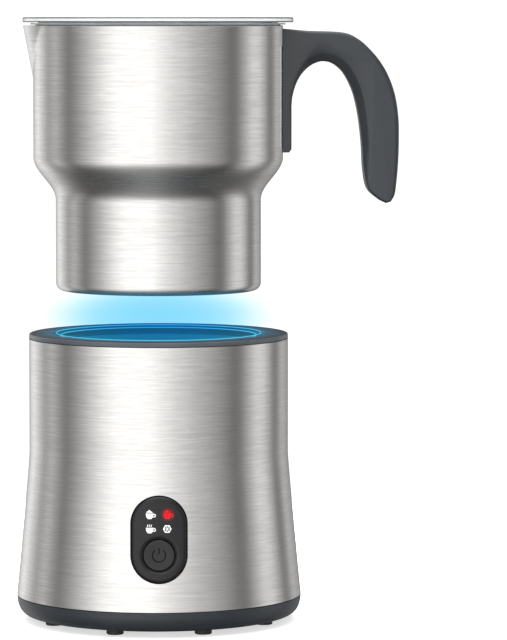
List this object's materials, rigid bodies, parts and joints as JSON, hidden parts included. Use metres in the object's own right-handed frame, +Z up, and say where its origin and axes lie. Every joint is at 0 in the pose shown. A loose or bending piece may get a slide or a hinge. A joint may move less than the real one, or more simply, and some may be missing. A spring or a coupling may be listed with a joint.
{
  "type": "milk frother",
  "caption": "Milk frother: stainless jug with clear lid, moulded handle and magnetic whisk, above an induction base with a control panel.",
  "frame": {"origin": "middle of the whole object's footprint, on the surface it stands on, with the handle on +X; the turned axis of jug and base stands 19.2 mm towards -X of it", "axes": "+Z up along the turned axis, -Y out of the front panel, +X towards the handle"},
  "size_m": [0.1521, 0.1137, 0.2403],
  "materials": {
    "brushed_steel": "satin",
    "plain_steel": "polished",
    "slate_plastic": "satin",
    "dark_plastic": "satin",
    "panel_black": "gloss",
    "clear_plastic": "gloss",
    "silicone": "matte",
    "rubber": "matte",
    "housing_plastic": "matte",
    "aluminium": "satin",
    "copper_wire": "satin",
    "ferrite": "matte",
    "nickel_magnet": "polished",
    "circuit_board": "satin",
    "led_epoxy": "gloss"
  },
  "bodies": {
    "base": {"outer_skin": "brushed_steel", "motor_can": "plain_steel", "top_ring": "slate_plastic", "well_liner": "slate_plastic", "base_pan": "dark_plastic", "capacitor": "dark_plastic", "tact_switch": "dark_plastic", "control_panel": "panel_black", "cord_gland": "rubber", "inner_housing": "housing_plastic", "coil_carrier": "housing_plastic", "motor_mount": "housing_plastic", "coil_shield": "aluminium", "heat_sink": "aluminium", "temperature_sensor": "aluminium", "induction_coil": "copper_wire", "choke": "copper_wire", "power_board": "circuit_board", "control_board": "circuit_board", "foot_1": "rubber", "foot_2": "rubber", "foot_3": "rubber", "foot_4": "rubber", "foot_5": "rubber", "foot_6": "rubber", "foot_7": "rubber", "foot_8": "rubber", "pan_screw_1": "plain_steel", "ferrite_bar_1": "ferrite", "light_guide_1": "clear_plastic", "lamp_1": "led_epoxy", "pan_screw_2": "plain_steel", "ferrite_bar_2": "ferrite", "light_guide_2": "clear_plastic", "lamp_2": "led_epoxy", "pan_screw_3": "plain_steel", "ferrite_bar_3": "ferrite", "light_guide_3": "clear_plastic", "lamp_3": "led_epoxy", "pan_screw_4": "plain_steel", "ferrite_bar_4": "ferrite", "light_guide_4": "clear_plastic", "lamp_4": "led_epoxy"},
    "jug": {"jug_body": "brushed_steel", "whisk_post": "plain_steel", "handle": "slate_plastic", "handle_bracket": "plain_steel", "handle_screw_1": "plain_steel", "handle_screw_2": "plain_steel"},
    "lid": {"lid_disc": "clear_plastic", "lid_gasket": "silicone"},
    "whisk": {"whisk_disc": "dark_plastic", "whisk_coil": "plain_steel", "whisk_magnet_1": "nickel_magnet", "whisk_magnet_2": "nickel_magnet"},
    "rotor": {"magnet_rotor": "dark_plastic", "motor_shaft": "plain_steel", "drive_magnet_1": "nickel_magnet", "drive_magnet_2": "nickel_magnet"},
    "button": {"power_button": "panel_black"}
  },
  "joints": [
    {"name": "jug_lift", "type": "slide", "parent": "base", "child": "jug", "axis": [0, 0, 1], "range_m": [-0.0502, 0.01]},
    {"name": "lid_lift", "type": "slide", "parent": "jug", "child": "lid", "axis": [0, 0, 1], "range_m": [0, 0.015]},
    {"name": "motor_spin", "type": "hinge", "parent": "base", "child": "rotor", "pos_m": [-0.0192, 0, 0.07], "axis": [0, 0, 1], "continuous": true},
    {"name": "whisk_spin", "type": "hinge", "parent": "jug", "child": "whisk", "pos_m": [-0.0192, 0, 0.14], "axis": [0, 0, 1], "continuous": true},
    {"name": "power_button_press", "type": "slide", "parent": "base", "child": "button", "axis": [0, 0.9955, -0.095], "range_m": [0, 0.0006], "stiffness_N_per_m": 2500}
  ]
}
